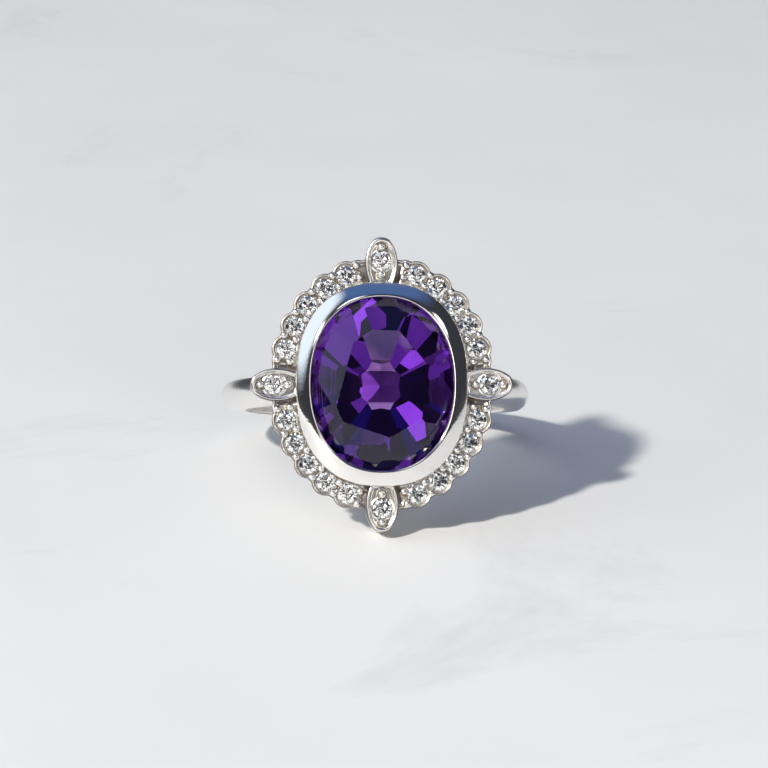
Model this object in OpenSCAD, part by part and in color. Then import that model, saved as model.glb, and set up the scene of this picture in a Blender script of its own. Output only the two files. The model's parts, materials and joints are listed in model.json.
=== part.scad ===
// Cocktail ring: an oval amethyst in a bevelled bezel, with a scalloped halo of small
// round brilliants, four leaf-shaped petals and a plain half-round band.
//
// The ring is designed upright: +Z runs out through the amethyst, Y runs along the
// finger, and the origin is the middle of the finger bore. rest_pose() then leans it
// to the way it lies on a table, on the bottom petal and the back of the band.

/* [Band] */
// Diameter of the finger bore
finger_d = 16.6; // [14:0.1:22]
// Width of the band along the finger
band_w = 1.85; // [1.4:0.05:1.9]
// Thickness of the band from the bore to its crest
band_t = 1.55; // [1.2:0.05:1.8]
// Radius of the band's rounded section
band_round_r = 1; // [0.98:0.02:1.4]
// Metal left over the bore where the top of the band is filed flat for the gallery
flat_t = 0.45; // [0.3:0.05:0.9]

/* [Amethyst] */
// Width of the stone across the finger
gem_w = 9; // [7:0.1:11]
// Length of the stone along the finger
gem_l = 11; // [8:0.1:14]
// Depth of the pavilion below the girdle
gem_pavilion = 3.9; // [2.5:0.1:5]
// Thickness of the girdle
gem_girdle = 0.2; // [0.1:0.05:0.4]
// Height of the crown above the girdle
gem_crown = 1.35; // [0.8:0.05:2]
// Width of the table
gem_table_w = 5.3; // [4:0.1:6]
// Width of the blunt point under the stone
gem_culet_w = 0.2; // [0.1:0.05:0.5]

/* [Bezel] */
// Thickness of the bezel wall outside the girdle
bezel_wall = 0.81; // [0.5:0.01:1.2]
// How far the lip laps over the edge of the stone
bezel_lap = 0.12; // [0.08:0.01:0.3]
// Height of the lip above the top of the girdle
lip_h = 0.75; // [0.4:0.05:1]
// Drop of the bevel from the lip to the outside wall
bevel_drop = 0.52; // [0.2:0.02:0.7]
// Depth of the ledge that the stone rests on
ledge_h = 0.55; // [0.3:0.05:1]
// Wall of the bezel at its foot
foot_wall = 0.75; // [0.5:0.05:1]

/* [Gallery] */
// Gap between the top of the band's flat and the point of the stone
culet_gap = 0.2; // [0.1:0.05:1]
// Height of the oval base rail
rail_h = 0.9; // [0.6:0.05:1.2]
// Width of the base rail's wall
rail_w = 1.5; // [1.2:0.05:1.8]
// Outside half width of the base rail across the finger
rail_reach = 4.2; // [4:0.05:4.4]
// Width of the rail's top left outside the bezel's foot for the struts
strut_ledge = 0.95; // [0.9:0.05:1.1]
// Diameter of the four gallery struts
strut_d = 0.55; // [0.4:0.05:0.6]

/* [Small stones] */
// Diameter of each small brilliant
melee_d = 1.25; // [1:0.05:1.5]
// Height of its crown
melee_crown = 0.19; // [0.1:0.01:0.3]
// Thickness of its girdle
melee_girdle = 0.04; // [0.02:0.01:0.08]
// Depth of its pavilion
melee_pavilion = 0.54; // [0.4:0.01:0.65]
// Diameter of its table
melee_table = 0.7; // [0.5:0.05:0.9]
// Diameter of the drilled hole under each stone
azure_d = 0.6; // [0.4:0.05:0.9]

/* [Halo] */
// Gap between the bezel wall and the edge of each halo stone
halo_gap = 0.265; // [0.22:0.005:0.5]
// Free arc between a petal's widest point and the nearest halo stone
petal_gap = 0.6; // [0.45:0.05:0.9]
// Least gap between two halo stones, which the arc beside the petals gives way to
stone_gap = 0.05; // [0.02:0.01:0.15]
// Metal round each halo stone, from its edge to the scallop's edge
scallop_margin = 0.25; // [0.2:0.01:0.3]
// Radius of the half scallop that closes each end of a halo quarter
end_scallop_r = 0.7; // [0.6:0.02:0.8]
// Metal left outside the outer beads on the web between two scallops
web_margin = 0.04; // [0.02:0.01:0.1]
// Thickness of the halo plate under its floor
halo_t = 0.9; // [0.8:0.05:1.2]
// Width of the raised edge round the halo
edge_w = 0.13; // [0.1:0.01:0.2]
// Height of the raised edge above the floor
edge_h = 0.14; // [0.05:0.01:0.25]
// Depth of the halo's stones below those of the amethyst's girdle
halo_drop = 0.1; // [0:0.05:0.4]

/* [Beads] */
// Diameter of the beads that hold the small stones
bead_d = 0.4; // [0.3:0.02:0.42]
// Height of a bead's centre above the floor
bead_h = 0.08; // [0:0.02:0.15]
// Clearance between a bead and the stones beside it
bead_gap = 0.015; // [0.005:0.005:0.05]
// How much further the inner beads stand from the line of stones than the outer ones
bead_inset = 0.06; // [0:0.01:0.1]

/* [Petals] */
// Distance from the bezel wall to the edge of each petal's stone
petal_root = 0.715; // [0.65:0.005:1]
// Distance from the stone's edge to the petal's tip
petal_nose = 0.825; // [0.75:0.005:1]
// Metal on each side of the petal's stone at the widest point
petal_side = 0.375; // [0.3:0.005:0.5]
// Distance of the widest point inside the petal's stone
petal_belly = 0.18; // [0:0.01:0.3]
// Radius of the petal's sides towards the tip
petal_tip_side_r = 2.4; // [2.2:0.1:2.6]
// Radius of the petal's sides towards the bezel
petal_root_side_r = 4.1; // [3.6:0.1:5]
// Radius of the blunt tip
petal_tip_r = 0.8; // [0.7:0.05:0.9]
// Width of the petal's raised rim
rim_w = 0.22; // [0.16:0.01:0.26]
// Height of the rim above the petal's floor
rim_h = 0.24; // [0.1:0.02:0.4]
// Thickness of the petal under its floor
petal_t = 1.45; // [0.9:0.05:2]
// Clearance between the petal's two beads and its stone
petal_bead_gap = 0.045; // [0.01:0.005:0.06]

/* [Hidden] */
$fn = 96;
SIDES = ["top", "right", "bottom", "left"];
CORNERS = ["top_right", "bottom_right", "bottom_left", "top_left"];
PER_CORNER = 5;
halo_names = [for (c = [0:3]) str("halo_", CORNERS[c])];
strut_names = [for (c = [0:3]) str("gallery_strut_", CORNERS[c])];
petal_names = [for (s = [0:3]) str("petal_", SIDES[s])];
petal_stone_names = [for (s = [0:3]) str("petal_diamond_", SIDES[s])];
halo_stone_names = [for (c = [0:3], i = [1:PER_CORNER]) str("halo_diamond_", CORNERS[c], "_", i)];

white_gold = [0.85, 0.84, 0.82];
diamond = [0.93, 0.95, 1];
purple = [0.36, 0.14, 0.62];
overrun = 1; // how far a cutter passes the face it opens
skin = 0.01; // thickness of the slices that the amethyst is stretched between
room = 40; // a box larger than the whole ring

// Heights, from the middle of the finger bore outwards
finger_r = finger_d / 2;
crest_r = finger_r + band_t;
flat_z = finger_r + flat_t;
rail_top = flat_z + rail_h;
girdle_z = flat_z + culet_gap + gem_pavilion;
crown_z = girdle_z + gem_girdle;
lip_z = crown_z + lip_h;
shoulder_z = lip_z - bevel_drop;
floor_z = girdle_z - halo_drop;
halo_z = floor_z - halo_t;
petal_z = floor_z - petal_t;
rim_z = floor_z + rim_h;

// Plan of the bezel and of the line that the halo stones follow
gem_rx = gem_w / 2;
gem_oval = gem_l / gem_w;
bezel_rx = gem_w / 2 + bezel_wall;
bezel_ry = gem_l / 2 + bezel_wall;
bezel_oval = bezel_ry / bezel_rx;
lip_rx = gem_rx - bezel_lap;
lip_contact_z = crown_z + gem_crown * bezel_lap / (gem_rx - gem_table_w / 2);
ledge_rx = gem_rx - (gem_rx - gem_culet_w / 2) * ledge_h / gem_pavilion;
foot_rx = rail_reach - strut_ledge;
halo_line = melee_d / 2 + halo_gap;
line_rx = bezel_rx + halo_line;
line_ry = bezel_ry + halo_line;
petal_line = melee_d / 2 + petal_root;
petal_tip = melee_d / 2 + petal_nose;
petal_w = melee_d + 2 * petal_side;
petal_bead = (melee_d + bead_d) / 2 + petal_bead_gap;

// Places along that line are found by their distance along it from the right-hand side
function on_line(t) = [line_rx * cos(t), line_ry * sin(t)];
arc_steps = [for (t = 0, s = 0; t <= 90; s = s + norm(on_line(t + 1) - on_line(t)), t = t + 1)
    [s, t]];
quarter = arc_steps[90][0];
function place(s) = on_line(lookup(s, arc_steps));
function outward(s) = let (p = place(s), n = [p.x / pow(line_rx, 2), p.y / pow(line_ry, 2)])
    n / norm(n);
free_arc = quarter - petal_w - 2 * petal_gap - melee_d;
pitch = max(free_arc / (PER_CORNER - 1), melee_d + stone_gap);
first_stone = (quarter - pitch * (PER_CORNER - 1)) / 2;
// Beads clear the stones beside them, and each other where wide-set stones leave room
bead_reach = (melee_d + bead_d) / 2 + bead_gap;
bead_out = max(bead_d / 2 + bead_gap, sqrt(max(0, pow(bead_reach, 2) - pow(pitch / 2, 2))));
bead_in = bead_out + bead_inset;
web_reach = bead_out + bead_d / 2 + web_margin;

// The lean at which the bottom petal's lower edge and the band's crest touch one plane
petal_reach = bezel_ry + petal_line + petal_tip;
crest_c = crest_r - band_round_r;
lean = acos(band_round_r / norm([petal_reach, petal_z + crest_c]))
    - atan2(petal_z + crest_c, petal_reach);
lift = petal_reach * cos(lean) - petal_z * sin(lean);
back_y = crest_c * cos(lean) + band_round_r;
front_y = -petal_reach * sin(lean) - rim_z * cos(lean);

module rest_pose()
    translate([0, -(front_y + back_y) / 2, lift])
        rotate([90 - lean, 0, 0])
            children();

// Puts a child, drawn at the right for +X, on one of the four sides of the head
module on_side(s) {
    half_w = s % 2 == 0 ? bezel_ry : bezel_rx;
    rotate(90 - 90 * s)
        translate([half_w + petal_line, 0, 0])
            children();
}

// Mirrors a child drawn in the top right corner of the head into corner c
module in_corner(c)
    mirror([c < 2 ? 0 : 1, 0, 0])
        mirror([0, c == 0 || c == 3 ? 0 : 1, 0])
            children();

// Turns a profile about the head's axis and stretches it along the finger by oval
module oval_turned(oval)
    for (c = [0:3])
        in_corner(c)
            scale([1, oval, 1])
                rotate_extrude(angle = 90)
                    children();

// Ellipse about the head's middle, offset outwards from the bezel's outside wall
module bezel_ellipse(out = 0)
    scale([bezel_rx + out, bezel_ry + out])
        circle(r = 1);

// A small round brilliant with the top of its girdle at z = 0
module brilliant()
    translate([0, 0, -melee_girdle])
        rotate_extrude()
            polygon([
                [0, -melee_pavilion],
                [melee_d / 2, 0],
                [melee_d / 2, melee_girdle],
                [melee_table / 2, melee_girdle + melee_crown],
                [0, melee_girdle + melee_crown]
            ]);

// Seat for a brilliant: its own pavilion and girdle, opened above and drilled through below
module seat(depth) {
    translate([0, 0, -melee_girdle])
        rotate_extrude()
            polygon([
                [0, -melee_pavilion],
                [melee_d / 2, 0],
                [melee_d / 2, melee_girdle + overrun],
                [0, melee_girdle + overrun]
            ]);
    translate([0, 0, -depth - overrun])
        cylinder(h = depth, d = azure_d);
}

module bead()
    translate([0, 0, bead_h])
        sphere(d = bead_d);

module band() color(white_gold) rest_pose()
    intersection() {
        rotate([90, 0, 0])
            rotate_extrude()
                intersection() {
                    translate([crest_c, 0])
                        circle(r = band_round_r);
                    translate([finger_r, -band_w / 2])
                        square([band_t + overrun, band_w]);
                }
        translate([-room / 2, -room / 2, flat_z - room])
            cube(room);
    }

module gallery_rail() color(white_gold) rest_pose()
    oval_turned(bezel_oval)
        translate([rail_reach - rail_w, flat_z])
            square([rail_w, rail_h]);

// A strut from the top of the base rail to the underside of the halo, in the top right,
// leaning by slope and cut level at both ends
module strut_shape() {
    t = lookup(quarter / 2, arc_steps);
    foot = foot_rx + strut_ledge / 2;
    low = [foot * cos(t), foot * bezel_oval * sin(t), rail_top];
    high = [line_rx * cos(t), line_ry * sin(t), halo_z];
    slope = (high - low) / (high.z - low.z);
    translate(low)
        multmatrix([
            [1, 0, slope.x, 0],
            [0, 1, slope.y, 0],
            [0, 0, 1, 0]
        ])
            cylinder(h = high.z - low.z, d = strut_d);
}

module gallery_strut(c) color(white_gold) rest_pose()
    in_corner(c)
        strut_shape();

module bezel_collet() color(white_gold) rest_pose()
    difference() {
        oval_turned(bezel_oval)
            polygon([
                [0, rail_top],
                [foot_rx, rail_top],
                [bezel_rx, halo_z],
                [bezel_rx, shoulder_z],
                [lip_rx, lip_z],
                [0, lip_z]
            ]);
        oval_turned(gem_oval)
            polygon([
                [0, rail_top - overrun],
                [foot_rx - foot_wall, rail_top - overrun],
                [foot_rx - foot_wall, rail_top],
                [ledge_rx, girdle_z - ledge_h],
                [gem_rx, girdle_z],
                [gem_rx, crown_z],
                [lip_rx, lip_contact_z],
                [lip_rx, lip_z + overrun],
                [0, lip_z + overrun]
            ]);
    }

// A thin oval slice that the stone's facets are stretched between
module gem_oval_at(z, width, thick, sides)
    translate([0, 0, z])
        linear_extrude(thick)
            scale([1, gem_oval])
                circle(d = width, $fn = sides);

module amethyst() color(purple) rest_pose()
    hull() {
        gem_oval_at(girdle_z, gem_w, gem_girdle, 32);
        gem_oval_at(crown_z + gem_crown - skin, gem_table_w, skin, 8);
        gem_oval_at(girdle_z - gem_pavilion, gem_culet_w, skin, 8);
    }

// Plan of the top right quarter of the halo, its outside edge drawn in by inset
module halo_plan(inset) {
    difference() {
        union() {
            for (i = [0:PER_CORNER - 1])
                translate(place(first_stone + i * pitch))
                    circle(r = melee_d / 2 + scallop_margin - inset);
            for (s = [first_stone - pitch / 2, quarter - first_stone + pitch / 2])
                translate(place(s))
                    circle(r = end_scallop_r - inset);
            intersection() {
                bezel_ellipse(halo_line + web_reach - inset);
                square(room);
            }
        }
        bezel_ellipse();
        translate([-room, -room / 2])
            square(room);
        translate([-room / 2, -room])
            square(room);
    }
}

// The metal of the top right quarter of the halo, with its seats and beads
module halo_shape()
    difference() {
        union() {
            translate([0, 0, halo_z])
                linear_extrude(halo_t)
                    halo_plan(0);
            translate([0, 0, floor_z])
                linear_extrude(edge_h)
                    difference() {
                        halo_plan(0);
                        halo_plan(edge_w);
                    }
            for (i = [0:PER_CORNER], d = [bead_out, -bead_in])
                let (s = first_stone + (i - 0.5) * pitch, p = place(s) + d * outward(s))
                    translate([p.x, p.y, floor_z])
                        bead();
        }
        for (i = [0:PER_CORNER - 1])
            at_halo_stone(i)
                seat(halo_t);
        for (s = [0:1])
            on_side(s)
                translate([0, 0, petal_z])
                    linear_extrude(petal_t + rim_h + overrun)
                        petal_plan(0);
    }

module at_halo_stone(i)
    let (p = place(first_stone + i * pitch))
        translate([p.x, p.y, floor_z])
            children();

module halo(c) color(white_gold) rest_pose()
    in_corner(c)
        halo_shape();

module halo_diamond(c, i) color(diamond) rest_pose()
    in_corner(c)
        at_halo_stone(i)
            brilliant();

// Half of a leaf whose belly is at the origin: two arcs, kept on one side of the belly
module leaf_half(side_r, inset, from_x)
    intersection() {
        translate([0, petal_w / 2 - side_r])
            circle(r = side_r - inset);
        translate([0, side_r - petal_w / 2])
            circle(r = side_r - inset);
        translate([from_x, -room / 2])
            square([room, room]);
    }

// Plan of a petal with its stone at the origin and its tip towards +X
module petal_plan(inset)
    translate([-petal_belly, 0]) {
        leaf_half(petal_root_side_r, inset, -room);
        intersection() {
            leaf_half(petal_tip_side_r, inset, 0);
            union() {
                translate([petal_tip + petal_belly - petal_tip_r, 0])
                    circle(r = petal_tip_r - inset);
                translate([-room, -room / 2])
                    square([room + petal_tip + petal_belly - petal_tip_r * 2 / 3, room]);
            }
        }
    }

module petal(s) color(white_gold) rest_pose()
    difference() {
        on_side(s) {
            difference() {
                translate([0, 0, petal_z])
                    linear_extrude(petal_t + rim_h)
                        petal_plan(0);
                translate([0, 0, floor_z])
                    linear_extrude(rim_h + overrun)
                        petal_plan(rim_w);
                translate([0, 0, floor_z])
                    seat(petal_t);
            }
            for (d = [-petal_bead, petal_bead])
                translate([d, 0, floor_z])
                    bead();
        }
        translate([0, 0, petal_z - overrun])
            linear_extrude(petal_t + rim_h + 2 * overrun)
                bezel_ellipse();
    }

module petal_diamond(s) color(diamond) rest_pose()
    on_side(s)
        translate([0, 0, floor_z])
            brilliant();

band();
gallery_rail();
bezel_collet();
amethyst();
for (c = [0:3]) gallery_strut(c);
for (c = [0:3]) halo(c);
for (s = [0:3]) petal(s);
for (s = [0:3]) petal_diamond(s);
for (c = [0:3], i = [0:PER_CORNER - 1])
    halo_diamond(c, i);
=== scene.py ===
"""Cocktail ring: an oval amethyst in a bevelled bezel, a scalloped halo of small
brilliants, four leaf-shaped petals and a half-round band, lying on a pale floor.

Every piece is built in the ring's own frame, in millimetres: x across the finger, y along
it towards the top petal, z out through the amethyst, with the origin in the middle of the
finger bore. RING carries that frame to the row frame, in metres.
"""
import itertools
import json
import math
import random

import bmesh
import bpy
import numpy as np
from mathutils import Matrix, Vector

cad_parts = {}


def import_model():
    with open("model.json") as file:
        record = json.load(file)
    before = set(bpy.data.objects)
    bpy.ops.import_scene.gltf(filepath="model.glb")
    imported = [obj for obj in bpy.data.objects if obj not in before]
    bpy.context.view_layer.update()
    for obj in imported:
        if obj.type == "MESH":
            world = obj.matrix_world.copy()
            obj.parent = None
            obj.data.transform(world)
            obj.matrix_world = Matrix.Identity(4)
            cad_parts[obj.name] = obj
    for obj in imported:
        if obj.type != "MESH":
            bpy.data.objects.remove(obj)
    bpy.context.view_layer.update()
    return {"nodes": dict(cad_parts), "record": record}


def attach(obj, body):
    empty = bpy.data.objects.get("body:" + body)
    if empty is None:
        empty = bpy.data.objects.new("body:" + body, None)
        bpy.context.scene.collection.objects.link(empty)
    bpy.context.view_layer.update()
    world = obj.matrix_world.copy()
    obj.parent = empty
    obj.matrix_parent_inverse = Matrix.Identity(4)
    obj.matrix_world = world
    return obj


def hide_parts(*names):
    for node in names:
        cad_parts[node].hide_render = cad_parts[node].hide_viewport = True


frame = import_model()
scene = bpy.context.scene

# ---------------------------------------------------------------- the ring's own frame
MM = 0.001
bore = next(m for m in frame["record"]["mounts"] if m["name"] == "finger_bore")
ALONG = Vector(bore["axis"]).normalized()
ACROSS = Vector((1, 0, 0))
OUT = ACROSS.cross(ALONG)
TURN = Matrix((ACROSS, ALONG, OUT)).transposed()
RING = Matrix.Translation(Vector(bore["pos_m"])) @ TURN.to_4x4() @ Matrix.Scale(MM, 4)


def ring_box(node):
    """Lowest and highest corner of a CAD node in the ring's own frame, in millimetres."""
    inverse = np.array(RING.inverted())
    mesh = frame["nodes"][node].data
    co = np.empty(len(mesh.vertices) * 3)
    mesh.vertices.foreach_get("co", co)
    co = co.reshape(-1, 3) @ inverse[:3, :3].T + inverse[:3, 3]
    return co.min(0), co.max(0)


CORNERS = {"top_right": (1, 1), "bottom_right": (1, -1), "bottom_left": (-1, -1),
           "top_left": (-1, 1)}
SIDES = {"right": 0, "top": 90, "left": 180, "bottom": 270}
PER_CORNER = 5

# ---------------------------------------------------------------- sizes from the frame
BAND_LOW, BAND_HIGH = ring_box("band")
RAIL_LOW, RAIL_HIGH = ring_box("gallery_rail")
BEZEL_HIGH = ring_box("bezel_collet")[1]
GEM_LOW, GEM_HIGH = ring_box("amethyst")
HALO_LOW = ring_box("halo_top_right")[0]
PETAL_LOW, PETAL_HIGH = ring_box("petal_right")
STRUT_LOW, STRUT_HIGH = ring_box("gallery_strut_top_right")
STONE_BOXES = [ring_box(f"halo_diamond_top_right_{n + 1}") for n in range(PER_CORNER)]
STONES = np.array([(low + high) / 2 for low, high in STONE_BOXES])[:, :2]
PETAL_STONES = {side: sum(ring_box(f"petal_diamond_{side}")) / 2 for side in SIDES}
BORE_R = float(bore["dims"]["r_mm"])
CREST_R = -float(BAND_LOW[2])
BAND_HALF_W = float(BAND_HIGH[1])
FLAT_Z = float(RAIL_LOW[2])
RAIL_TOP = float(RAIL_HIGH[2])
BEZEL_R = BEZEL_HIGH[:2]
GEM_R = GEM_HIGH[:2]
LIP_Z = float(BEZEL_HIGH[2])
HALO_Z = float(HALO_LOW[2])
PETAL_Z = float(PETAL_LOW[2])
RIM_Z = float(PETAL_HIGH[2])
GEM_GIRDLE_Z = (FLAT_Z + 4.10, FLAT_Z + 4.30)
PAVILION_DEPTH = GEM_GIRDLE_Z[0] - float(GEM_LOW[2])
# The amethyst's pavilion, as (share of its oval, depth) from the girdle to the culet
PAVILION = [(1.0, 0.0), (0.94, 0.35), (0.26, 3.55), (0.0, PAVILION_DEPTH + 0.01)]

# A round brilliant of radius 1, as slopes in degrees and where each plane crosses
TABLE_R = 0.56
CROWN_SLOPE, STAR_SLOPE, HALF_SLOPE = 34.5, 22.0, 42.0
MAIN_SLOPE, LOWER_SLOPE = 40.75, 42.2
HALF_R, LOWER_R, STAR_R, STAR_Z = 0.978, 0.971, 0.78, 0.192
MELEE_R = float(STONE_BOXES[0][1][0] - STONE_BOXES[0][0][0]) / 2
MELEE_GIRDLE = 0.04
MELEE_CROWN = MELEE_R * (1 - TABLE_R) * math.tan(math.radians(CROWN_SLOPE))
FLOOR_Z = float(STONE_BOXES[0][1][2]) - MELEE_CROWN

# The fine metalwork, in millimetres
BAND_ROUND_R = 1.0
BEZEL_POWER, GEM_POWER = 2.33, 2.2
BEZEL_LAP = 0.12
BEVEL_DROP = 0.52
BURNISH_W = 0.10
FOOT_R = 3.25
SCALLOP_R, END_SCALLOP_R = MELEE_R + 0.25, 0.70
WEB_REACH = 0.60
EDGE_W, EDGE_H = 0.15, 0.14
RIM_W, RIM_H = 0.20, RIM_Z - FLOOR_Z
BEAD_R, BEAD_LIFT = 0.225, 0.085
BEAD_OUT, BEAD_IN = 0.37, 0.40
PETAL_BEAD = 0.85
AZURE_R = 0.30
SEAT_GAP = 0.012
BEZEL_FIT = 0.004
SCALLOP_CREASE, RIM_CREASE = 0.03, 0.015
# Where a halo quarter's casting starts and ends along the line of stones, under a petal
HALO_END = 0.78
RECESS = 0.24


# ---------------------------------------------------------------- mesh helpers
def revolve(profile, steps=32, centre=(0, 0, 0)):
    """A closed turned solid: profile runs from the axis to the axis as (radius, z)."""
    angles = np.arange(steps) * 2 * math.pi / steps
    rings = [np.stack([r * np.cos(angles), r * np.sin(angles), np.full(steps, z)], 1)
             for r, z in profile[1:-1]]
    points = np.concatenate([[[0, 0, profile[0][1]]]] + rings + [[[0, 0, profile[-1][1]]]])
    faces = []
    count = len(rings)
    for i in range(steps):
        j = (i + 1) % steps
        faces.append((0, 1 + j, 1 + i))
        faces.append((1 + (count - 1) * steps + i, 1 + (count - 1) * steps + j,
                      1 + count * steps))
        for k in range(count - 1):
            a, b = 1 + k * steps, 1 + (k + 1) * steps
            faces.append((a + i, a + j, b + j, b + i))
    return points + np.array(centre), faces


def loft(rings, closed=True):
    """Quads through rings of equal point count, joined end to end or capped with n-gons."""
    rings = np.asarray(rings)
    rows, cols = rings.shape[:2]
    faces = []
    for i in range(rows if closed else rows - 1):
        a, b = i * cols, (i + 1) % rows * cols
        for k in range(cols):
            m = (k + 1) % cols
            faces.append((a + k, a + m, b + m, b + k))
    if not closed:
        faces.append(tuple(range(cols))[::-1])
        faces.append(tuple((rows - 1) * cols + k for k in range(cols)))
    return rings.reshape(-1, 3), faces


def merged(shells):
    """Several (points, faces) shells as one."""
    points, faces, start = [], [], 0
    for shell_points, shell_faces in shells:
        points.append(shell_points)
        faces += [tuple(i + start for i in face) for face in shell_faces]
        start += len(shell_points)
    return np.concatenate(points), faces


def new_object(name, shell):
    """A mesh object, in ring millimetres, from a shell, with its normals outward."""
    mesh = bpy.data.meshes.new(name)
    mesh.from_pydata([tuple(p) for p in shell[0]], [], shell[1])
    bm = bmesh.new()
    bm.from_mesh(mesh)
    bmesh.ops.recalc_face_normals(bm, faces=bm.faces)
    bm.to_mesh(mesh)
    bm.free()
    obj = bpy.data.objects.new(name, mesh)
    scene.collection.objects.link(obj)
    return obj


def combine(obj, shell, operation):
    """Unites obj with a shell, or cuts the shell out of it."""
    tool = new_object("tool", shell)
    modifier = obj.modifiers.new("combine", "BOOLEAN")
    modifier.operation, modifier.object, modifier.solver = operation, tool, "MANIFOLD"
    depsgraph = bpy.context.evaluated_depsgraph_get()
    mesh = bpy.data.meshes.new_from_object(obj.evaluated_get(depsgraph))
    obj.modifiers.clear()
    obj.data = mesh
    bpy.data.objects.remove(tool)


def smooth(low, high, value):
    """0 below low, 1 above high, and a smooth rise between."""
    t = np.clip((value - low) / (high - low), 0, 1)
    return t * t * (3 - 2 * t)


def soft_max(a, b, width):
    """The larger of two values, with the crease between them rounded over width."""
    h = np.clip(0.5 + 0.5 * (a - b) / width, 0, 1)
    return b + (a - b) * h + width * h * (1 - h)


def finish_piece(obj, material, nodes, sharp=35.0, recess=None):
    """Shades a piece, moves it to the row frame and hands it to the frame."""
    mesh = obj.data
    mesh.name = obj.name
    mesh.materials.clear()
    mesh.materials.append(material)
    count = len(mesh.vertices)
    co = np.empty(count * 3)
    mesh.vertices.foreach_get("co", co)
    # The recess value carries painted shade, also standing for polishing residue, and dulls
    # the finish where it is high
    depth = np.zeros(count) if recess is None else recess(co.reshape(-1, 3))
    mesh.attributes.new("recess", "FLOAT", "POINT").data.foreach_set("value", depth)
    mesh.transform(RING)
    bm = bmesh.new()
    bm.from_mesh(mesh)
    limit = math.radians(sharp)
    for face in bm.faces:
        face.smooth = sharp > 0
    for edge in bm.edges:
        edge.smooth = sharp > 0 and edge.calc_face_angle(0) < limit
    bm.to_mesh(mesh)
    bm.free()
    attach(obj, "root")
    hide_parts(*nodes)
    return obj


def place(shell, matrix=None, flip=(1, 1)):
    """A shell turned by a matrix or mirrored in x and y."""
    points = shell[0] * np.array([flip[0], flip[1], 1])
    if matrix is not None:
        matrix = np.array(matrix)
        points = points @ matrix[:3, :3].T + matrix[:3, 3]
    return points, shell[1]


# ---------------------------------------------------------------- materials
class Nodes:
    """A short way to lay out shader nodes."""

    def __init__(self, tree):
        self.tree = tree
        tree.nodes.clear()

    def __call__(self, kind, inputs=(), **settings):
        node = self.tree.nodes.new(kind)
        for name, value in settings.items():
            setattr(node, name, value)
        for key, value in dict(inputs).items():
            if isinstance(value, bpy.types.NodeSocket):
                self.tree.links.new(value, node.inputs[key])
            else:
                node.inputs[key].default_value = value
        return node


def new_material(name):
    material = bpy.data.materials.new(name)
    material.use_nodes = True
    return material, Nodes(material.node_tree)


def white_gold(name, colour, rough, rough_spread, scratch):
    """Rhodium-plated white gold: a bright polish with fine wipe marks, slightly hazy
    patches, brown painted shade in the recesses that stands also for polishing residue, and
    a painted dark reflection line on the turn of each raised edge."""
    material, node = new_material(name)
    place_ = node("ShaderNodeTexCoord").outputs["Object"]
    haze = node("ShaderNodeTexNoise", {"Vector": place_, "Scale": 420.0, "Detail": 3.0,
                                       "Roughness": 0.55})
    fine = node("ShaderNodeTexNoise", {"Vector": place_, "Scale": 5200.0, "Detail": 2.0})
    stretch = node("ShaderNodeMapping", {"Vector": place_, "Scale": (900.0, 6500.0, 5200.0),
                                         "Rotation": (0.3, 0.2, 0.7)})
    wipe = node("ShaderNodeTexNoise", {"Vector": stretch.outputs[0], "Scale": 1.0,
                                       "Detail": 2.0})
    roughness = node("ShaderNodeMapRange", {
        "Value": haze.outputs[0], "From Min": 0.35, "From Max": 0.7,
        "To Min": rough, "To Max": rough + rough_spread})
    # Painted shade: the stored recess value browns the metal in recesses, creases and round
    # the beads, standing also for polishing residue
    depth = node("ShaderNodeAttribute", attribute_name="recess")
    shade_and_residue = node("ShaderNodeMath", {0: depth.outputs["Fac"], 1: haze.outputs[0]},
                 operation="MULTIPLY")
    shade_and_residue_level = node("ShaderNodeMapRange", {
        "Value": shade_and_residue.outputs[0], "From Min": 0.08, "From Max": 0.5})
    tone = node("ShaderNodeMix", {0: shade_and_residue_level.outputs[0], 6: (*colour, 1),
                                  7: (0.30, 0.23, 0.17, 1)}, data_type="RGBA")
    # Painted reflection: recess values from 1 to 2 turn the metal near-black on the turn of
    # raised edges, for the dark surroundings it would reflect
    edge = node("ShaderNodeMapRange", {"Value": depth.outputs["Fac"], "From Min": 1.0,
                                       "From Max": 2.0})
    toned = node("ShaderNodeMix", {0: edge.outputs[0], 6: tone.outputs[2],
                                   7: (0.06, 0.065, 0.085, 1)}, data_type="RGBA")
    satin = node("ShaderNodeMapRange", {"Value": depth.outputs["Fac"], "From Max": 0.5,
                                        "To Max": 0.30})
    dull = node("ShaderNodeMath", {0: satin.outputs[0], 1: roughness.outputs[0]},
                operation="ADD")
    height = node("ShaderNodeMath", {0: wipe.outputs[0], 1: fine.outputs[0]},
                  operation="ADD")
    bump = node("ShaderNodeBump", {"Strength": scratch, "Distance": 0.00002,
                                   "Height": height.outputs[0]})
    shader = node("ShaderNodeBsdfPrincipled", {
        "Base Color": toned.outputs[2], "Metallic": 1.0,
        "Roughness": dull.outputs[0], "Normal": bump.outputs[0]})
    node("ShaderNodeOutputMaterial", {"Surface": shader.outputs[0]})
    return material


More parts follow.
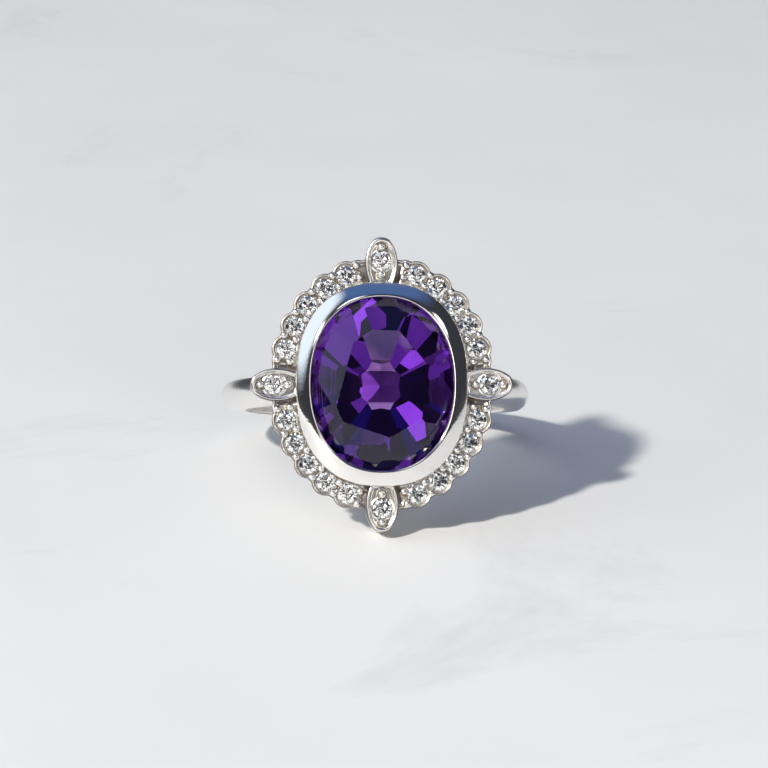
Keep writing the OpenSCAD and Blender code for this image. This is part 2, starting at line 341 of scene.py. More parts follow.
def gemstone(name, colour, ior, density=0.0, absorb=(1, 1, 1), silk=0.0):
    """A clear cut stone: polished facets with a trace of polishing haze, and a volume
    that takes up light along its way through."""
    material, node = new_material(name)
    place_ = node("ShaderNodeTexCoord").outputs["Object"]
    haze = node("ShaderNodeTexNoise", {"Vector": place_, "Scale": 900.0, "Detail": 2.0})
    rough = node("ShaderNodeMapRange", {"Value": haze.outputs[0], "From Min": 0.55,
                                        "From Max": 0.85, "To Min": 0.0, "To Max": silk})
    zone = node("ShaderNodeTexNoise", {"Vector": place_, "Scale": 260.0, "Detail": 1.0})
    level = node("ShaderNodeMapRange", {"Value": zone.outputs[0], "From Min": 0.35,
                                        "From Max": 0.65, "To Min": 0.94, "To Max": 1.0})
    tint = node("ShaderNodeMix", {0: 1.0, 6: (*colour, 1), 7: level.outputs[0]},
                data_type="RGBA", blend_type="MULTIPLY")
    shader = node("ShaderNodeBsdfPrincipled", {
        "Base Color": tint.outputs[2], "Roughness": rough.outputs[0],
        "IOR": ior, "Transmission Weight": 1.0})
    surface = {"Surface": shader.outputs[0]}
    if density:
        volume = node("ShaderNodeVolumeAbsorption", {"Color": (*absorb, 1),
                                                     "Density": density})
        surface["Volume"] = volume.outputs[0]
    node("ShaderNodeOutputMaterial", surface)
    return material


GOLD = white_gold("white_gold_polished", (0.93, 0.91, 0.88), 0.035, 0.05, 0.10)
GOLD_CAST = white_gold("white_gold_setting", (0.92, 0.90, 0.87), 0.07, 0.09, 0.16)
GOLD_SATIN = white_gold("white_gold_satin", (0.92, 0.90, 0.88), 0.20, 0.08, 0.25)
AMETHYST = gemstone("amethyst", (1.0, 1.0, 1.0), 1.55, 325.0, (0.45, 0.05, 0.72), 0.02)
DIAMOND = gemstone("diamond", (1.0, 1.0, 1.0), 2.42, silk=0.01)


# ---------------------------------------------------------------- band
def band():
    """A half-round band, its edges eased, filed flat on top where the gallery stands."""
    inner_ease, outer_ease = 0.10, 0.14
    centre_r = CREST_R - BAND_ROUND_R
    half = BAND_HALF_W
    section = []
    for y in np.linspace(-1, 1, 9) * (half - inner_ease):
        section.append((BORE_R, y))
    for a in np.radians([22, 45, 68, 90]):
        section.append((BORE_R + inner_ease * (1 - math.cos(a)),
                        half - inner_ease + inner_ease * math.sin(a)))
    side_r = centre_r + math.sqrt(BAND_ROUND_R ** 2 - half ** 2)
    section.append((side_r - outer_ease, half))
    crown = [(centre_r + math.sqrt(max(0, BAND_ROUND_R ** 2 - y * y)), y)
             for y in half * np.sin(np.radians(np.linspace(78, -78, 25)))]
    section += crown
    section.append((side_r - outer_ease, -half))
    for a in np.radians([90, 68, 45, 22]):
        section.append((BORE_R + inner_ease * (1 - math.cos(a)),
                        -half + inner_ease - inner_ease * math.sin(a)))
    rings = []
    for angle in np.arange(0, 360, 1.25):
        up = math.cos(math.radians(angle))
        across = math.sin(math.radians(angle))
        top = FLAT_Z / up if up > 0.5 else CREST_R
        rings.append([(min(r, top) * across, y, min(r, top) * up) for r, y in section])
    obj = new_object("band_half_round", loft(rings))
    finish_piece(obj, GOLD_SATIN, ["band"], 50)


# ---------------------------------------------------------------- gallery and bezel
def oval_ring(radii, z, power=2.0, count=320):
    """Points round an oval with the given half widths, at height z: an ellipse at power
    2, and fuller at its shoulders above that."""
    t = np.arange(count) * 2 * math.pi / count
    x, y = np.cos(t), np.sin(t)
    x, y = (np.sign(v) * np.abs(v) ** (2 / power) for v in (x, y))
    return np.stack([radii[0] * x, radii[1] * y, np.full(count, z)], 1)


def eased(corners, radius):
    """A section's corners as (a, b) points, each rounded with three points."""
    corners = [np.array(c, float) for c in corners]
    rounded = []
    for before, corner, after in zip(corners[-1:] + corners, corners, corners[1:] + corners):
        back, ahead = before - corner, after - corner
        back = back / np.linalg.norm(back) * radius
        ahead = ahead / np.linalg.norm(ahead) * radius
        rounded += [corner + back, corner + 0.29 * (back + ahead), corner + ahead]
    return rounded


def gallery_rail():
    reach, width, ease = float(RAIL_HIGH[0]), 1.5, 0.16
    oval = np.array([1, float(RAIL_HIGH[1] / RAIL_HIGH[0])])
    section = eased([(reach - width, FLAT_Z), (reach, FLAT_Z), (reach, RAIL_TOP),
                     (reach - width, RAIL_TOP)], ease)
    obj = new_object("gallery_rail_oval",
                     loft([oval_ring(r * oval, z) for r, z in section]))
    # Painted shade, brown, along the rail's top edge under the collet and halo
    finish_piece(obj, GOLD_CAST, ["gallery_rail"], 50,
                 lambda co: smooth(RAIL_TOP - 0.1, RAIL_TOP, co[:, 2]) * 0.6)


def gallery_strut(name, flip):
    """A leaning wire with a little fillet of solder at each end."""
    wire, around = 0.275, 24
    low = np.array([STRUT_LOW[0] + wire, STRUT_LOW[1] + wire, STRUT_LOW[2]])
    high = np.array([STRUT_HIGH[0] - wire, STRUT_HIGH[1] - wire, STRUT_HIGH[2]])
    rings = []
    angles = np.arange(around) * 2 * math.pi / around
    for t in np.linspace(0, 1, 17):
        near_end = min(t, 1 - t)
        radius = wire * (0.84 + 0.30 * math.exp(-near_end / 0.06))
        centre = low + (high - low) * t
        rings.append(np.stack([centre[0] + radius * np.cos(angles),
                               centre[1] + radius * np.sin(angles),
                               np.full(around, centre[2])], 1))
    obj = new_object(f"strut_{name}", place(loft(rings, closed=False), flip=flip))
    finish_piece(obj, GOLD_CAST, [f"gallery_strut_{name}"], 50)


def bezel():
    """The collet: foot, flared wall, convex bevel, burnished lip and the seat inside."""
    foot_w, foot_flare, foot_h, wall_ease = 0.75, 0.08, 0.12, 0.08
    bevel_start, bevel_bow, bevel_turn, seat_gap = 0.035, 1.28, 0.03, 0.01
    oval = BEZEL_R / BEZEL_R[0]
    gem_oval = GEM_R / GEM_R[0]
    lip = (GEM_R[0] - BEZEL_LAP) * gem_oval
    shoulder = LIP_Z - BEVEL_DROP
    girdle_low, girdle_top = GEM_GIRDLE_Z
    outer, inner = BEZEL_POWER, GEM_POWER
    rings = [oval_ring(FOOT_R * oval, RAIL_TOP)]
    rings.append(oval_ring((FOOT_R + foot_flare) * oval, RAIL_TOP + foot_h))
    rings.append(oval_ring(BEZEL_R - 0.06 * oval, HALO_Z - 0.05, outer))
    rings.append(oval_ring(BEZEL_R, HALO_Z + wall_ease, outer))
    rings.append(oval_ring(BEZEL_R, shoulder - 2 * wall_ease, outer))
    rings.append(oval_ring(BEZEL_R - 0.1 * wall_ease, shoulder - wall_ease, outer))
    for u in np.linspace(0, 1, 15):
        spread = bevel_start + (1 - bevel_start) * u
        rise = BEVEL_DROP * (1 - (1 - u) ** bevel_bow) - bevel_turn * (1 - u) ** 6
        edge = BEZEL_R + (lip + BURNISH_W - BEZEL_R) * spread
        rings.append(oval_ring(edge, shoulder + rise, outer + (inner - outer) * spread))
    for a in np.radians([25, 50, 75]):
        rings.append(oval_ring(lip + BURNISH_W * (1 - math.sin(a) * 0.9),
                               LIP_Z - BURNISH_W * 0.75 * (1 - math.cos(a)), inner))
    rings.append(oval_ring(lip, LIP_Z - BURNISH_W * 0.85, inner))
    rings.append(oval_ring(lip - seat_gap, girdle_top + foot_h, inner))
    rings.append(oval_ring(GEM_R + seat_gap, girdle_top + 2 * seat_gap, inner))
    rings.append(oval_ring(GEM_R + seat_gap, girdle_low, inner))
    share, drop = PAVILION[1]
    rings.append(oval_ring(GEM_R * share + 3 * seat_gap, girdle_low - drop, inner))
    foot = (FOOT_R - foot_w) * gem_oval
    rings.append(oval_ring(foot + 0.06, RAIL_TOP + 0.25))
    rings.append(oval_ring(foot, RAIL_TOP))
    obj = new_object("bezel", loft(rings))
    # Painted shade, brown: the collet darkens below the level of its bevel, inside and out,
    # fully above the halo and faintly below it
    finish_piece(obj, GOLD, ["bezel_collet"], 40,
                 lambda co: smooth(shoulder - 0.1, shoulder - 0.35, co[:, 2])
                 * (0.2 + 0.7 * smooth(HALO_Z, HALO_Z + 0.4, co[:, 2])))


# ---------------------------------------------------------------- cut stones
def cut_stone(planes, flat=1e-4):
    """The convex solid inside the planes, each (normal, distance), one face to a plane."""
    normals = np.array([n for n, _ in planes], float)
    distances = np.array([d for _, d in planes], float)
    triples = np.array(list(itertools.combinations(range(len(planes)), 3)))
    matrices = normals[triples]
    good = np.abs(np.linalg.det(matrices)) > 1e-7
    corners = np.linalg.solve(matrices[good], distances[triples[good]][..., None])[..., 0]
    inside = (corners @ normals.T <= distances + flat * 0.2).all(1)
    corners = np.unique(np.round(corners[inside] / flat) * flat, axis=0)
    kept = []
    for corner in corners:
        if not kept or np.linalg.norm(np.array(kept) - corner, axis=1).min() > 4 * flat:
            kept.append(corner)
    corners = np.array(kept)
    faces = []
    for normal, distance in zip(normals, distances):
        on = np.nonzero(np.abs(corners @ normal - distance) < 5 * flat)[0]
        if len(on) < 3:
            continue
        middle = corners[on].mean(0)
        side = np.cross(normal, [0.31, 0.57, 0.76])
        side /= np.linalg.norm(side)
        up = np.cross(normal, side)
        around = np.arctan2((corners[on] - middle) @ up, (corners[on] - middle) @ side)
        faces.append(tuple(on[np.argsort(around)]))
    return corners, faces


def slope_plane(azimuth, slope, radius, z):
    """A facet plane that faces azimuth, tilted by slope, through a radius at height z."""
    a, s = math.radians(azimuth), math.radians(slope)
    normal = np.array([math.sin(s) * math.cos(a), math.sin(s) * math.sin(a), math.cos(s)])
    return normal, abs(math.sin(s)) * radius + normal[2] * z


def brilliant():
    """A round brilliant of 57 facets and a girdle, with the top of its girdle at z = 0."""
    girdle = MELEE_GIRDLE / MELEE_R
    planes = [((0, 0, 1), (1 - TABLE_R) * math.tan(math.radians(CROWN_SLOPE)))]
    for k in range(8):
        planes.append(slope_plane(45 * k, CROWN_SLOPE, 1, 0))
        planes.append(slope_plane(45 * k + 22.5, STAR_SLOPE, STAR_R, STAR_Z))
        planes.append(slope_plane(45 * k, 180 - MAIN_SLOPE, 1, -girdle))
    for k in range(16):
        planes.append(slope_plane(22.5 * k + 11.25, HALF_SLOPE, HALF_R, 0))
        planes.append(slope_plane(22.5 * k + 11.25, 180 - LOWER_SLOPE, LOWER_R, -girdle))
        planes.append(slope_plane(22.5 * k + 11.25, 90, math.cos(math.pi / 16), 0))
    points, faces = cut_stone(planes)
    return points * MELEE_R, faces


def oval_reach(azimuth):
    """How far out a vertical plane that faces azimuth touches the stone's oval."""
    power = GEM_POWER / (GEM_POWER - 1)
    across, along = abs(GEM_R[0] * math.cos(azimuth)), abs(GEM_R[1] * math.sin(azimuth))
    return float((across ** power + along ** power) ** (1 / power))


def facet(azimuth, inner, outer):
    """A plane that faces azimuth and passes through two (share of the oval, z) places."""
    reach = oval_reach(azimuth)
    rise = inner[1] - outer[1]
    normal = np.array([abs(rise) * math.cos(azimuth), abs(rise) * math.sin(azimuth),
                       math.copysign((outer[0] - inner[0]) * reach, rise)])
    normal /= np.linalg.norm(normal)
    through = np.array([outer[0] * reach * math.cos(azimuth),
                        outer[0] * reach * math.sin(azimuth), outer[1]])
    return normal, float(normal @ through)


def faces_at(count, turned):
    """Azimuths of count facets spaced round the oval as a round stone's would be."""
    t = np.radians(turned + 360 / count * np.arange(count))
    return np.arctan2(np.sin(t) / GEM_R[1], np.cos(t) / GEM_R[0])


# Where the crown's broad facets meet the table: the way each faces, and how far out
TABLE_EDGES = {165: 2.37, 210: 3.50, 251: 3.03, 300: 3.12, 352: 2.69, 40: 2.85, 88: 3.24,
               125: 3.05}


def amethyst():
    """An oval mixed cut by hand: broad crown facets round an uneven table, small facets
    at the girdle, and a full pavilion in three tiers."""
    low, high = GEM_GIRDLE_Z
    top = float(GEM_HIGH[2])
    planes = [((0, 0, 1), top), ((0, 0, -1), -float(GEM_LOW[2]))]
    for degrees, out in TABLE_EDGES.items():
        azimuth = math.radians(degrees)
        planes.append(facet(azimuth, (out / oval_reach(azimuth), top), (1, high)))
    break_in, break_rise, break_out = 0.885, 0.42, 0.985
    planes += [facet(a, (break_in, high + break_rise), (break_out, high))
               for a in faces_at(16, 4)]
    for (outer, drop), (inner, next_drop), turned, count in zip(
            PAVILION, PAVILION[1:], (11.25, 0.0, 22.5), (16, 8, 8)):
        planes += [facet(a, (inner, low - next_drop), (outer, low - drop))
                   for a in faces_at(count, turned)]
    planes += [facet(a, (1, high + 1), (1, low)) for a in faces_at(32, 5.6)]
    points, faces = cut_stone(planes)
    obj = new_object("amethyst_oval", (points, faces))
    finish_piece(obj, AMETHYST, ["amethyst"], 0)


def stones():
    """The small brilliants, each dropped in its seat at its own turn."""
    turns = random.Random(7)
    lean = 0.03
    shape = brilliant()
    spots = {}
    for name, flip in CORNERS.items():
        for n, centre in enumerate(STONES):
            spots[f"halo_diamond_{name}_{n + 1}"] = centre * np.array(flip)
    for side, centre in PETAL_STONES.items():
        spots[f"petal_diamond_{side}"] = centre[:2]
    for node, centre in spots.items():
        tilt = Matrix.Rotation(turns.uniform(-lean, lean), 4, "X")
        turn = Matrix.Rotation(turns.uniform(0, math.pi / 4), 4, "Z")
        sit = Matrix.Translation((centre[0], centre[1], FLOOR_Z)) @ tilt @ turn
        obj = new_object(node.replace("diamond", "brilliant"), place(shape, sit))
        finish_piece(obj, DIAMOND, [node], 0)


# ---------------------------------------------------------------- halo
# The line of stones is an ellipse outside the bezel; places on it go by arc length
LINE_OUT = min(np.linspace(0.5, 1.5, 2001), key=lambda out: abs(
    ((STONES / (BEZEL_R + out)) ** 2).sum(1).mean() - 1))
LINE_R = BEZEL_R + LINE_OUT
ARC_T = np.linspace(0, math.pi / 2, 4001)
ARC_POINTS = np.stack([LINE_R[0] * np.cos(ARC_T), LINE_R[1] * np.sin(ARC_T)], 1)
ARC_S = np.concatenate([[0], np.cumsum(np.linalg.norm(np.diff(ARC_POINTS, axis=0), axis=1))])
QUARTER = ARC_S[-1]
STONE_S = np.interp(np.arctan2(STONES[:, 1] / LINE_R[1], STONES[:, 0] / LINE_R[0]),
                    ARC_T, ARC_S)
PITCH = float(STONE_S[-1] - STONE_S[0]) / (PER_CORNER - 1)
BEAD_S = STONE_S[0] + PITCH * (np.arange(PER_CORNER + 1) - 0.5)


def line_at(s):
    """Points on the stone line at arc lengths s, and the line's outward normals there."""
    t = np.interp(s, ARC_S, ARC_T)
    points = np.stack([LINE_R[0] * np.cos(t), LINE_R[1] * np.sin(t)], -1)
    normals = points / LINE_R ** 2
    return points, normals / np.linalg.norm(normals, axis=-1, keepdims=True)


def halo_reach(s):
    """How far the scalloped edge stands outside the stone line at arc lengths s."""
    points, normals = line_at(s)
    reach = np.full(len(s), WEB_REACH)
    rounds = [(line_at(at)[0], END_SCALLOP_R) for at in (BEAD_S[0], BEAD_S[-1])]
    rounds += [(centre, SCALLOP_R) for centre in STONES]
    for centre, radius in rounds:
        away = points - centre
        along = (normals * away).sum(1)
        under = along ** 2 - (away ** 2).sum(1) + radius ** 2
        scallop = np.where(under > 0, np.sqrt(np.abs(under)) - along, 0)
        reach = soft_max(reach, scallop, SCALLOP_CREASE)
    return reach


def bezel_reach(points, normals):
    """How far inside the stone line the bezel's outside stands, below each point."""
    near, far = np.full(len(points), -1.4), np.zeros(len(points))
    for _ in range(30):
        middle = (near + far) / 2
        at = np.abs(points + middle[:, None] * normals) / (BEZEL_R + BEZEL_FIT)
        outside = (at ** BEZEL_POWER).sum(1) > 1
        far = np.where(outside, middle, far)
        near = np.where(outside, near, middle)
    return far


def rounded_rim(edge, width, height):
    """Height of a raised rim whose top is a half round, by distance from its outside."""
    r = width / 2
    top = height - r + np.sqrt(np.maximum(r * r - (edge - r) ** 2, 0))
    return np.where(edge > width, height - r - (edge - width) * 5, top)


def halo_floor(points, outward, s):
    """Height of the sunk metal between the halo's stones, beads and edge."""
    gap = np.min([np.linalg.norm(points - c, axis=-1) for c in STONES], axis=0) - MELEE_R
    sunk = -0.06 - 0.10 * smooth(-0.35, -0.55, outward)
    ends = smooth(0.02, 0.50, np.maximum(BEAD_S[0] - s, s - BEAD_S[-1]))
    sunk = sunk - (RECESS - 0.10) * ends * smooth(0.45, 0.15, outward)
    pits, normals = line_at(BEAD_S)
    for centre in pits - 0.03 * normals:
        away = np.abs(points - centre).max(-1)
        sunk = np.minimum(sunk, -0.20 * smooth(0.13, 0.08, away) - 0.05)
    return sunk * smooth(0.04, 0.10, gap)


def bead(x, y):
    """A worked bead: a domed grain on a short post, leaning over the stone's edge."""
    dome = [(BEAD_R * math.cos(a), BEAD_LIFT + BEAD_R * 0.95 * math.sin(a))
            for a in np.radians([75, 60, 45, 30, 15, 0, -15, -30])]
    profile = [(0, BEAD_LIFT + BEAD_R * 0.95)] + dome
    profile += [(BEAD_R * 0.86, -0.14), (BEAD_R * 0.95, -RECESS - 0.08),
                (0, -RECESS - 0.08)]
    return revolve(profile[::-1], 28, (x, y, FLOOR_Z))


def stone_room(x, y):
    """The room a brilliant takes, which the beads are worked down over."""
    seat_r, gap, over = MELEE_R + SEAT_GAP, 0.01, 0.2
    rise = over * math.tan(math.radians(CROWN_SLOPE))
    profile = [(0, -0.6), (seat_r, -MELEE_GIRDLE - gap / 2), (seat_r, gap),
               (seat_r - over, gap + rise), (0, 2 * gap + rise)]
    return revolve(profile, 48, (x, y, FLOOR_Z))


def stone_cutter(x, y):
    """The seat and the drilled azure hole under a brilliant."""
    half_angle = math.tan(math.radians(MAIN_SLOPE))
    girdle = -MELEE_GIRDLE - 0.005
    seat_r = MELEE_R + SEAT_GAP
    hole_z = girdle - (seat_r - AZURE_R) * half_angle
    profile = [(0, -3), (AZURE_R, -3), (AZURE_R, hole_z), (seat_r, girdle),
               (seat_r + 0.02, 0.5), (0, 0.5)]
    return revolve(profile, 48, (x, y, FLOOR_Z))


def halo_casting():
    """The top right quarter of the halo: a scalloped plate with a raised edge."""
    s = np.arange(HALO_END, QUARTER - HALO_END, 0.03)
    points, normals = line_at(s)
    reach = halo_reach(s)
    lean = 1 / np.sqrt(1 + np.gradient(reach, s) ** 2)
    inside = bezel_reach(points, normals)
    edges = np.concatenate([np.linspace(0, EDGE_W, 9), EDGE_W + np.array([0.02, 0.04, 0.07])])
    columns = [reach - e / lean for e in edges]
    start = columns[-1]
    columns += [start + (inside - start) * f for f in np.linspace(0, 1, 42)[1:]]
    rings = []
    for w in columns:
        at = points + w[:, None] * normals
        edge = (reach - w) * lean
        z = soft_max(halo_floor(at, w, s), rounded_rim(edge, EDGE_W, EDGE_H), RIM_CREASE)
        rings.append(np.concatenate([at, FLOOR_Z + z[:, None]], 1))
    under = [(inside, HALO_Z), ((inside + reach) / 2, HALO_Z),
             (reach - 0.08, HALO_Z), (reach - 0.02, HALO_Z + 0.03),
             (reach, HALO_Z + 0.10), (reach, FLOOR_Z - 0.25)]
    for w, z in under:
        at = points + w[:, None] * normals
        rings.append(np.concatenate([at, np.full((len(s), 1), z)], 1))
    return loft(np.array(rings).transpose(1, 0, 2), closed=False)


def set_stones(casting, beads, centres, where=None):
    """Cuts the seats, then raises the beads and works them down over the stones."""
    combine(casting, place(merged([stone_cutter(*c) for c in centres]), where),
            "DIFFERENCE")
    grains = new_object("grains", place(merged([bead(*b) for b in beads]), where))
    combine(grains, place(merged([stone_room(*c) for c in centres]), where), "DIFFERENCE")
    combine(casting, shell_of(grains), "UNION")


def shell_of(obj):
    """The points and faces of an object, which is then removed."""
    points = np.array([v.co for v in obj.data.vertices])
    faces = [tuple(p.vertices) for p in obj.data.polygons]
    bpy.data.objects.remove(obj)
    return points, faces


def halo():
    casting = new_object("casting", halo_casting())
    beads = []
    for at in BEAD_S:
        point, normal = line_at(at)
        beads += [tuple(point + d * normal) for d in (BEAD_OUT, -BEAD_IN)]
    set_stones(casting, beads, [tuple(c) for c in STONES])
    for side in ("right", "top"):
        cutter = petal_prism(0.02, PETAL_Z - 1, RIM_Z + 1)
        combine(casting, place(cutter, petal_place(side)), "DIFFERENCE")
    quarter = shell_of(casting)
    shade = shaded(quarter[0], halo_outline(), beads, EDGE_H)
    for name, flip in CORNERS.items():
        obj = new_object(f"halo_quarter_{name}", place(quarter, flip=flip))
        finish_piece(obj, GOLD_CAST, [f"halo_{name}"], 40, lambda co: shade)


def halo_outline():
    """Points along the scalloped edge of the top right quarter, and its normals."""
    s = np.arange(0.70, QUARTER - 0.70, 0.02)
    points, normals = line_at(s)
    points = points + halo_reach(s)[:, None] * normals
    along = np.gradient(points, axis=0)
    outward = np.stack([along[:, 1], -along[:, 0]], 1)
    return points, outward / np.linalg.norm(outward, axis=1, keepdims=True)


def shaded(co, outline, beads, rim):
    """How dark the setting goes at each point: painted shade up to 1 in its recesses, also
    for polishing residue, painted shade lines at the foot of the raised edge and round the
    beads, and 2 for a painted dark reflection on the outer edge's turn."""
    edge = np.empty(len(co))
    points, normals = outline
    for k, place_ in enumerate(co[:, :2]):
        nearest = ((points - place_) ** 2).sum(1).argmin()
        edge[k] = normals[nearest] @ (points[nearest] - place_)
    z = co[:, 2]
    # Painted shade, also standing for polishing residue, in the sunk metal inside the edge
    recess = smooth(FLOOR_Z - 0.02, FLOOR_Z - 0.42, z) * smooth(0.02, 0.08, edge) * smooth(
        FLOOR_Z - 0.75, FLOOR_Z - 0.50, z)
    # Painted shade along the crease at the foot of the raised edge
    foot = 0.75 * smooth(EDGE_W - 0.03, EDGE_W + 0.01, edge) * smooth(
        EDGE_W + 0.12, EDGE_W + 0.05, edge) * smooth(FLOOR_Z + 0.06, FLOOR_Z + 0.01, z)
    top = FLOOR_Z + rim
    # Painted dark reflection on the outer turn of the raised edge
    turn = 2 * smooth(0.055, 0.025, edge) * smooth(top - 0.16, top - 0.10, z)
    # Painted shade in a ring round each bead's foot
    away = np.min([np.linalg.norm(co[:, :2] - np.array(at), axis=1) for at in beads], 0)
    ring = 0.9 * smooth(BEAD_R - 0.03, BEAD_R, away) * smooth(
        BEAD_R + 0.10, BEAD_R + 0.04, away) * smooth(FLOOR_Z + 0.05, FLOOR_Z + 0.01, z)
    satin = np.full(len(co), 0.16)
    return np.max([recess, foot, turn, ring, satin], axis=0)


# ---------------------------------------------------------------- petals
PETAL_HALF_W = float(PETAL_HIGH[1])
PETAL_TIP = float(PETAL_HIGH[0]) - float(PETAL_STONES["right"][0])
BELLY = 0.18
ROOT_SIDE_R, TIP_SIDE_R, TIP_R = 2.9, 2.4, 0.8


def petal_half_width(x):
    """Half width of the leaf at x from its stone, with the tip towards +x."""
    side_r = np.where(x < -BELLY, ROOT_SIDE_R, TIP_SIDE_R)
    side = PETAL_HALF_W - side_r + np.sqrt(np.maximum(side_r ** 2 - (x + BELLY) ** 2, 0))
    tip_x = np.maximum(x - (PETAL_TIP - TIP_R), 0)
    tip = np.sqrt(np.maximum(TIP_R ** 2 - tip_x ** 2, 0))
    return np.where(x > PETAL_TIP - TIP_R * 2 / 3, np.minimum(side, tip), side)


def petal_outline(count=220):
    """Points round the leaf at equal spacing, and its outward normals."""
    root = float(BEZEL_R[0] - PETAL_STONES["right"][0]) - 0.30
    x = root + (PETAL_TIP - root) * (1 - np.cos(np.linspace(0, math.pi, 800))) / 2
    y = petal_half_width(x) * np.sqrt(smooth(root - 1e-6, root + 0.2, x))
    path = np.concatenate([np.stack([x, -y], 1), np.stack([x, y], 1)[::-1]])
    steps = np.linalg.norm(np.diff(path, axis=0), axis=1)
    length = np.concatenate([[0], np.cumsum(steps)])
    at = np.linspace(0, length[-1], count, endpoint=False)
    points = np.stack([np.interp(at, length, path[:, k]) for k in (0, 1)], 1)
    along = np.roll(points, -2, 0) - np.roll(points, 2, 0)
    normals = np.stack([along[:, 1], -along[:, 0]], 1)
    return points, normals / np.linalg.norm(normals, axis=1, keepdims=True)


def petal_prism(inset, low, high):
    """The leaf's outline drawn in by inset, between two heights."""
    points, normals = petal_outline()
    inner = points - inset * normals
    rings = [np.concatenate([inner, np.full((len(inner), 1), z)], 1) for z in (low, high)]
    return loft(rings, closed=False)


def petal_place(side):
    """Where a petal drawn with its tip along +x goes."""
    x, y = (float(v) for v in PETAL_STONES[side][:2])
    return (Matrix.Translation((x, y, 0))
            @ Matrix.Rotation(math.radians(SIDES[side]), 4, "Z"))


def petal_floor(points):
    """Height of the petal's floor: a cut groove round each bead, level elsewhere."""
    sunk = np.full(len(points), -0.04)
    for x in (PETAL_BEAD, -PETAL_BEAD):
        away = np.linalg.norm(points - np.array([x, 0]), axis=-1)
        sunk = np.minimum(sunk, -0.16 * smooth(0.33, 0.28, away))
    gap = np.linalg.norm(points, axis=-1) - MELEE_R
    return sunk * smooth(0.05, 0.12, gap)


def petal_shell():
    points, normals = petal_outline()
    width = RIM_W * (1 + 0.45 * smooth(PETAL_TIP - 0.75, PETAL_TIP, points[:, 0]))
    insets = [width * f for f in np.linspace(0, 1, 13)]
    insets += [width + step for step in (0.02, 0.04, 0.07)]
    layers = []
    for inset in insets:
        at = points - inset[:, None] * normals
        z = soft_max(petal_floor(at), rounded_rim(inset, width, RIM_H), RIM_CREASE)
        layers.append(np.concatenate([at, FLOOR_Z + z[:, None]], 1))
    last = layers[-1][:, :2]
    centre = np.array([-0.1, 0])
    for f in np.linspace(0, 1, 24)[1:-1]:
        at = last + (centre - last) * f
        layers.append(np.concatenate([at, FLOOR_Z + petal_floor(at)[:, None]], 1))
    low = [(0.05, PETAL_Z), (0.01, PETAL_Z + 0.02), (0.0, PETAL_Z + 0.06)]
    walls = [np.concatenate([points - i * normals, np.full((len(points), 1), z)], 1)
             for i, z in low]
    return loft(walls + layers, closed=False)


def petals():
    bezel_core = loft([oval_ring(BEZEL_R + BEZEL_FIT, z, BEZEL_POWER)
                       for z in (PETAL_Z - 1, RIM_Z + 1)], closed=False)
    for side in SIDES:
        where = petal_place(side)
        obj = new_object(f"petal_leaf_{side}", place(petal_shell(), where))
        beads = [(PETAL_BEAD, 0), (-PETAL_BEAD, 0)]
        set_stones(obj, beads, [(0, 0)], where)
        combine(obj, bezel_core, "DIFFERENCE")
        leaf = np.array(where.inverted())
        finish_piece(obj, GOLD_CAST, [f"petal_{side}"], 40,
                     lambda co: shaded(co @ leaf[:3, :3].T + leaf[:3, 3],
                                       petal_outline(), beads, RIM_H))


# ---------------------------------------------------------------- stage
def stage():
    """A pale marble top, very softly veined."""
    material, node = new_material("pale_marble")
    place_ = node("ShaderNodeTexCoord").outputs["Object"]
    cloud = node("ShaderNodeTexNoise", {"Vector": place_, "Scale": 14.0, "Detail": 4.0,
                                        "Roughness": 0.6})
    vein = node("ShaderNodeTexNoise", {"Vector": place_, "Scale": 26.0, "Detail": 6.0,
                                       "Roughness": 0.7, "Distortion": 0.6})
    level = node("ShaderNodeMapRange", {"Value": cloud.outputs[0], "From Min": 0.35,
                                        "From Max": 0.65})
    streak = node("ShaderNodeMapRange", {"Value": vein.outputs[0], "From Min": 0.56,
                                         "From Max": 0.70})
    base = node("ShaderNodeMix", {0: level.outputs[0], 6: (0.80, 0.80, 0.81, 1),
                                  7: (0.86, 0.86, 0.87, 1)}, data_type="RGBA")
    veined = node("ShaderNodeMix", {0: streak.outputs[0], 6: base.outputs[2],
                                    7: (0.74, 0.74, 0.76, 1)}, data_type="RGBA")
    grain = node("ShaderNodeTexNoise", {"Vector": place_, "Scale": 900.0, "Detail": 2.0})
    rough = node("ShaderNodeMapRange", {"Value": grain.outputs[0], "To Min": 0.42,
                                        "To Max": 0.60})
    shader = node("ShaderNodeBsdfPrincipled", {
        "Base Color": veined.outputs[2], "Roughness": rough.outputs[0],
        "Specular IOR Level": 0.25})
    node("ShaderNodeOutputMaterial", {"Surface": shader.outputs[0]})
    reach = 1.2
    mesh = bpy.data.meshes.new("floor")
    mesh.from_pydata([(-reach, -reach, 0), (reach, -reach, 0), (reach, reach, 0),
                      (-reach, reach, 0)], [], [(0, 1, 2, 3)])
    mesh.materials.append(material)
    floor = bpy.data.objects.new("floor", mesh)
    scene.collection.objects.link(floor)


# The studio's soft lights: the way to each, the cosines where it starts and is full,
# its colour and its strength
SOFT_LIGHTS = [
    ((0.0, 0.12, 1.0), 0.74, 0.96, (0.21, 0.40, 0.95), 0.85),
    ((-0.80, 0.03, 0.60), 0.82, 0.93, (0.78, 0.89, 1.0), 2.70),
    ((0.15, 0.70, 0.70), 0.78, 0.98, (0.45, 0.58, 0.90), 0.70),
    ((0.30, -0.85, 0.42), 0.978, 0.990, (1.0, 0.98, 0.94), 7.0),
    ((-0.35, -0.90, 0.05), 0.984, 0.992, (1.0, 0.95, 0.88), 6.0),
    ((0.62, -0.42, 0.66), 0.990, 0.996, (0.92, 0.96, 1.0), 6.0),
    ((-0.20, -0.55, 0.80), 0.988, 0.995, (1.0, 1.0, 1.0), 8.0),
]


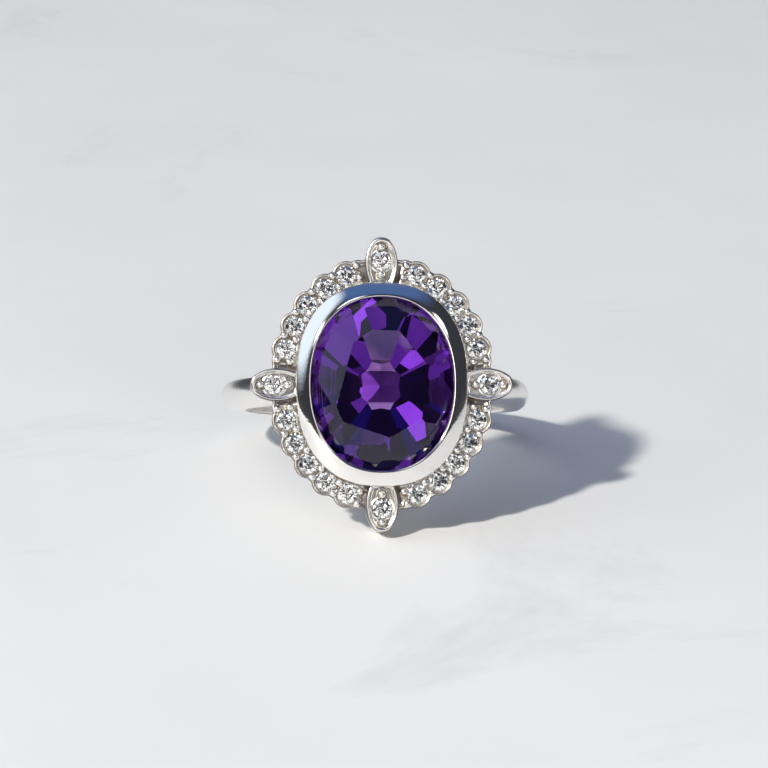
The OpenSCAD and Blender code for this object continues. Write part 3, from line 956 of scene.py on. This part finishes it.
def world():
    """A dim room with soft lights: blue overhead, white on the upper left, and a few
    small panels in front that the cut stones pick up."""
    world_ = bpy.data.worlds.new("studio")
    world_.use_nodes = True
    scene.world = world_
    node = Nodes(world_.node_tree)
    way = node("ShaderNodeTexCoord").outputs["Generated"]
    height = node("ShaderNodeSeparateXYZ", {0: way}).outputs[2]
    ramp = node("ShaderNodeMapRange", {"Value": height, "From Min": 0.0,
                                       "From Max": 0.12})
    total = node("ShaderNodeMix", {0: ramp.outputs[0], 6: (0.16, 0.15, 0.15, 1),
                                   7: (0.09, 0.095, 0.12, 1)}, data_type="RGBA").outputs[2]
    for direction, start, full, colour, strength in SOFT_LIGHTS:
        side = node("ShaderNodeVectorMath", {0: way, 1: Vector(direction).normalized()},
                    operation="DOT_PRODUCT")
        level = node("ShaderNodeMapRange", {"Value": side.outputs["Value"],
                                            "From Min": start, "From Max": full},
                     interpolation_type="SMOOTHSTEP")
        glow = tuple(c * strength for c in colour)
        total = node("ShaderNodeMix", {0: level.outputs[0], 6: total, 7: (*glow, 1)},
                     data_type="RGBA").outputs[2]
    back = node("ShaderNodeBackground", {"Color": total, "Strength": 0.42})
    node("ShaderNodeOutputWorld", {"Surface": back.outputs[0]})


def area_light(name, direction, distance, size, energy, colour):
    """A soft round light in a direction from the head, facing it."""
    data = bpy.data.lights.new(name, "AREA")
    data.shape, data.size, data.energy, data.color = "DISK", size, energy, colour
    light = bpy.data.objects.new(name, data)
    scene.collection.objects.link(light)
    way = Vector(direction).normalized()
    light.location = HEAD + way * distance
    light.rotation_euler = (-way).to_track_quat("-Z", "Y").to_euler()


# The middle of the head, in the row frame
HEAD = RING @ Vector((0, 0, 13.3))


def camera():
    """The photograph's view: a long lens, square on to the head but a little below it
    and to its left, with the head rolled very slightly."""
    below, beside, roll = math.radians(3.3), math.radians(2.0), math.radians(0.6)
    distance, lens, aside = 0.300, 228.5, 0.12 * MM
    way = TURN @ Vector((-math.sin(beside), -math.sin(below) * math.cos(beside),
                         math.cos(below) * math.cos(beside)))
    data = bpy.data.cameras.new("camera")
    data.lens, data.sensor_width = lens, 36.0
    data.clip_start, data.clip_end = 0.01, 5.0
    eye = bpy.data.objects.new("camera", data)
    scene.collection.objects.link(eye)
    aim = HEAD + Vector((aside, 0, 0))
    eye.location = aim + way * distance
    turn = (-way).to_track_quat("-Z", "Y").to_matrix().to_4x4()
    turn = turn @ Matrix.Rotation(roll, 4, "Z")
    eye.matrix_world = Matrix.Translation(eye.location) @ turn
    scene.camera = eye


camera()
band()
gallery_rail()
for name, flip in CORNERS.items():
    gallery_strut(name, flip)
bezel()
amethyst()
stones()
halo()
petals()
stage()
world()
area_light("key", (-0.544, -0.569, 0.618), distance=1.2, size=0.08, energy=16.0,
           colour=(1.0, 0.96, 0.86))
scene.view_settings.view_transform = "Standard"
scene.cycles.max_bounces = 24
scene.cycles.transmission_bounces = 20
scene.cycles.glossy_bounces = 12
